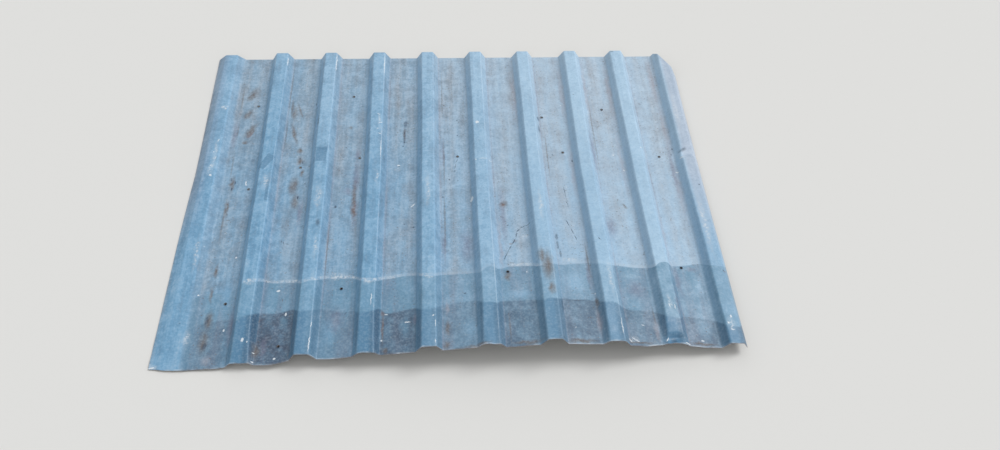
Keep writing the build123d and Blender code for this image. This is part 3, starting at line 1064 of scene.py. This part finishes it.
def scratch_paint(paint, finish):
    """Dark specks and lines, chipped white paint with painted highlights among it, and painted shade in
    dark rings round the nail holes.
    """
    dark = DARK_SPECKS + tuple(line_marks(DARK_LINES))
    paint.stain(dark, paint.ragged, 0.6, (paint.blotch * 1.6 - 0.1).clamped(), 1.0, finish.shade)
    # Chipped white paint, and painted highlights on crest corners, kinks and a hollow's edge
    chips_and_glints = paint.marks(WHITE_CHIPS_AND_GLINTS, paint.ragged, 0.4)
    paint.lay(chips_and_glints * 0.84, finish.chip_and_highlight)
    # Painted shade: dark rings that darken the nail holes
    hole_shade = [(x, y, NAIL_RING, NAIL_RING) for x, y in NAIL_HOLES]
    paint.lay(paint.marks(hole_shade, paint.flat, 0.45) * 0.8, finish.shade)
    return chips_and_glints


def wear_front_edge(paint, finish, sheet_length):
    """Paint worn white and brown along the front edge."""
    start, end = (sheet_length / MM - strip for strip in FRONT_STRIP)
    rim = (paint.stored("from_back") / MM).ramp(start, end)
    colour = paint.tint(paint.patches.ramp(0.4, 0.6), finish.chip_and_highlight, finish.brown)
    paint.lay(rim * (paint.blotch * 2.6 - 0.9).clamped() * 0.6, colour)


def weathered_paint_and_light(sizes, finish):
    """Faded blue paint with dust, lap marks, dirt, rust, scuffs and chipped paint, and painted light and
    shade on the ribs, dents and nail holes.
    """
    paint = WornPaint("faded_blue_paint", sizes)
    fade_and_light_paint(paint, finish)
    dust = settle_dust(paint, finish)
    cloud_paint(paint, finish)
    past_edge, lapped, covered = mark_laps(paint, finish)
    shade_ribs(paint, finish, lapped, covered)
    line_with_lime(paint, finish, past_edge, covered)
    wear_and_highlight_corners(paint, finish, covered)
    brown, rusted = stain_paint(paint, finish)
    speckle_paint(paint, finish, covered)
    chips_and_glints = scratch_paint(paint, finish)
    wear_front_edge(paint, finish, sizes.sheet_length)

    roughness = 0.46 + dust * 0.2 + paint.fine.swing(0.18) + brown * 0.25 + rusted * 0.3 - lapped * 0.04
    height = paint.fine * 0.06 + paint.patches * 0.22 + paint.blotch * 0.05 + chips_and_glints * 0.12 + rusted * 0.12
    paint.finish(paint.colour, roughness.clamped(), height)
    return paint.material


def line_marks(lines):
    """Thin marks that join the places along each line."""
    for half, *places in lines:
        for (x0, y0), (x1, y1) in zip(places, places[1:]):
            run = math.hypot(x1 - x0, y1 - y0)
            turn = math.degrees(math.atan2(y1 - y0, x1 - x0))
            yield ((x0 + x1) / 2, (y0 + y1) / 2, run / 2 + half * LINE_OVERLAP, half, turn)


def back_coat(sizes, finish):
    """Plain grey coat of the underside, dusty, with rust freckles."""
    coat = PaintGraph("grey_back_coat", sizes)
    patches = coat.grain(60, 4.0)
    runs = coat.grain(14, 3.0, longer=12.0)
    fine = coat.grain(4.5, 4.0, roughness=0.7)
    colour = coat.tint((patches - 0.3).clamped(), finish.back_coat, finish.zinc)
    colour = coat.tint((runs - 0.45).clamped() * 0.9, colour, finish.brown)
    freckles = coat.grain(16, 5.0, roughness=0.7).ramp(0.62, 0.74) * fine.ramp(0.4, 0.7)
    colour = coat.tint(freckles * 0.8, colour, finish.rust)
    roughness = 0.55 + fine.swing(0.2) + freckles * 0.25
    coat.finish(colour, roughness.clamped(), fine * 0.06 + freckles * 0.1)
    return coat.material


def cut_edge(sizes, finish):
    """Sheared zinc and steel of the cut edges, going rusty."""
    edge = PaintGraph("rusty_cut_edge", sizes)
    fine = edge.grain(6, 4.0)
    wide = edge.grain(50, 3.0)
    rusty = (edge.from_back.ramp(500, 790) * 0.5 + (wide - 0.4) + fine.swing(1.2)).clamped()
    colour = edge.tint(rusty, finish.zinc, finish.rust)
    edge.finish(colour, 0.5 + rusty * 0.35, fine * 0.08)
    return edge.material


class SHEET_OT_make_sheet(bpy.types.Operator):
    """Roll, bend, dent, cut and paint the sheet, and put it in the frame"""

    bl_idname = "sheet.make_sheet"
    bl_label = "Make the sheet"

    def execute(self, context):
        sizes = context.scene.sheet_sizes
        finish = context.scene.sheet_finish
        paint = weathered_paint_and_light(sizes, finish)
        mesh = roll_sheet(sizes, paint)
        if not mesh.vertices:
            raise RuntimeError("the rolled sheet came out empty")
        wear_shape(mesh, sizes)
        cut_sheet(mesh, sizes)
        piece = bpy.data.objects.new("sheet_skin", mesh)
        context.collection.objects.link(piece)
        mesh.materials.append(back_coat(sizes, finish))
        mesh.materials.append(cut_edge(sizes, finish))
        thicken(piece, sizes.gauge)
        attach(piece, "root")
        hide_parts(NODE)
        return {"FINISHED"}


class SHEET_OT_make_stage(bpy.types.Operator):
    """Lay the pale floor, hang the soft lamps and aim the camera"""

    bl_idname = "sheet.make_stage"
    bl_label = "Make the studio"

    def execute(self, context):
        studio = context.scene.sheet_studio
        lay_floor(studio)
        light_room(studio)
        aim_camera(studio)
        context.scene.view_settings.view_transform = "Standard"
        return {"FINISHED"}


def lay_floor(studio):
    """A wide pale floor that the sheet lies on."""
    mesh = bpy.data.meshes.new("studio_floor")
    corners = ((-1, -1), (1, -1), (1, 1), (-1, 1))
    places = [(x * FLOOR_HALF, y * FLOOR_HALF, -FLOOR_GAP) for x, y in corners]
    mesh.from_pydata(places, [], [(0, 1, 2, 3)])
    floor = bpy.data.objects.new("studio_floor", mesh)
    bpy.context.collection.objects.link(floor)
    material = bpy.data.materials.new("pale_floor")
    material.use_nodes = True
    graph = Graph(material.node_tree)
    graph.tree.nodes.clear()
    inputs = {"Base Color": (*studio.floor, 1.0), "Roughness": 0.9, "Specular IOR Level": 0.2}
    shader = graph.node("ShaderNodeBsdfPrincipled", inputs=inputs)
    graph.node("ShaderNodeOutputMaterial", inputs={"Surface": shader})
    mesh.materials.append(material)


def light_room(studio):
    """Light from all round, seen as a pale backdrop, and one soft key light."""
    world = bpy.data.worlds.new("studio_room")
    bpy.context.scene.world = world
    world.use_nodes = True
    graph = Graph(world.node_tree)
    graph.tree.nodes.clear()
    inputs = {"Color": (1.0, 1.0, 1.0, 1.0), "Strength": studio.room_level}
    room = graph.node("ShaderNodeBackground", inputs=inputs)
    backdrop = graph.node("ShaderNodeBackground", inputs={"Color": (*studio.backdrop, 1.0)})
    rays = graph.node("ShaderNodeLightPath").output.node.outputs
    kinds = ("Is Camera Ray", "Is Glossy Ray", "Is Transmission Ray")
    seen, glossy, passing = [Socket(graph, rays[kind]) for kind in kinds]
    shown = (seen + glossy + passing).clamped()
    mixed = graph.node("ShaderNodeMixShader", inputs={0: shown, 1: room, 2: backdrop})
    graph.node("ShaderNodeOutputWorld", inputs={"Surface": mixed})
    key = bpy.data.lights.new("key_light", "SUN")
    key.energy = studio.key_level
    key.angle = studio.key_softness
    holder = bpy.data.objects.new("key_light", key)
    holder.location = studio.key_place
    holder.rotation_euler = (-holder.location).to_track_quat("-Z", "Y").to_euler()
    bpy.context.collection.objects.link(holder)


def aim_camera(studio):
    """A camera that looks down at the sheet from the front."""
    heading, tilt, roll = studio.camera_heading, studio.camera_tilt, studio.camera_roll
    flat = math.cos(tilt)
    ahead = Vector((math.sin(heading) * flat, math.cos(heading) * flat, -math.sin(tilt)))
    sideways = Vector((math.cos(heading), -math.sin(heading), 0.0))
    down = ahead.cross(sideways)
    right = math.cos(roll) * sideways + math.sin(roll) * down
    down = math.cos(roll) * down - math.sin(roll) * sideways
    camera = bpy.data.cameras.new("camera")
    camera.sensor_width = SENSOR_WIDTH
    camera.lens = studio.camera_lens
    camera.clip_start = 0.01
    holder = bpy.data.objects.new("camera", camera)
    turned = Matrix((right, -down, -ahead)).transposed().to_4x4()
    holder.matrix_world = Matrix.Translation(studio.camera_place) @ turned
    bpy.context.collection.objects.link(holder)
    bpy.context.scene.camera = holder


class SHEET_PT_panel(bpy.types.Panel):
    """Lists the steps and the sizes, colours and studio settings"""

    bl_idname = "SHEET_PT_panel"
    bl_label = "Roofing sheet"
    bl_space_type = "VIEW_3D"
    bl_region_type = "UI"
    bl_category = "Roofing sheet"

    def draw(self, context):
        layout = self.layout
        for step in (SHEET_OT_make_sheet, SHEET_OT_make_stage):
            layout.operator(step.bl_idname)
        scene = context.scene
        for group in (scene.sheet_sizes, scene.sheet_finish, scene.sheet_studio):
            box = layout.box()
            for name in group.__annotations__:
                box.prop(group, name)


CLASSES = (
    SheetSizes, SheetFinish, SheetStudio, SHEET_OT_make_sheet, SHEET_OT_make_stage, SHEET_PT_panel,
)


def register():
    for kind in CLASSES:
        bpy.utils.register_class(kind)
    bpy.types.Scene.sheet_sizes = bpy.props.PointerProperty(type=SheetSizes)
    bpy.types.Scene.sheet_finish = bpy.props.PointerProperty(type=SheetFinish)
    bpy.types.Scene.sheet_studio = bpy.props.PointerProperty(type=SheetStudio)


def unregister():
    del bpy.types.Scene.sheet_studio
    del bpy.types.Scene.sheet_finish
    del bpy.types.Scene.sheet_sizes
    for kind in reversed(CLASSES):
        bpy.utils.unregister_class(kind)


def main():
    register()
    bpy.ops.sheet.make_sheet()
    bpy.ops.sheet.make_stage()


if __name__ == "__main__":
    main()
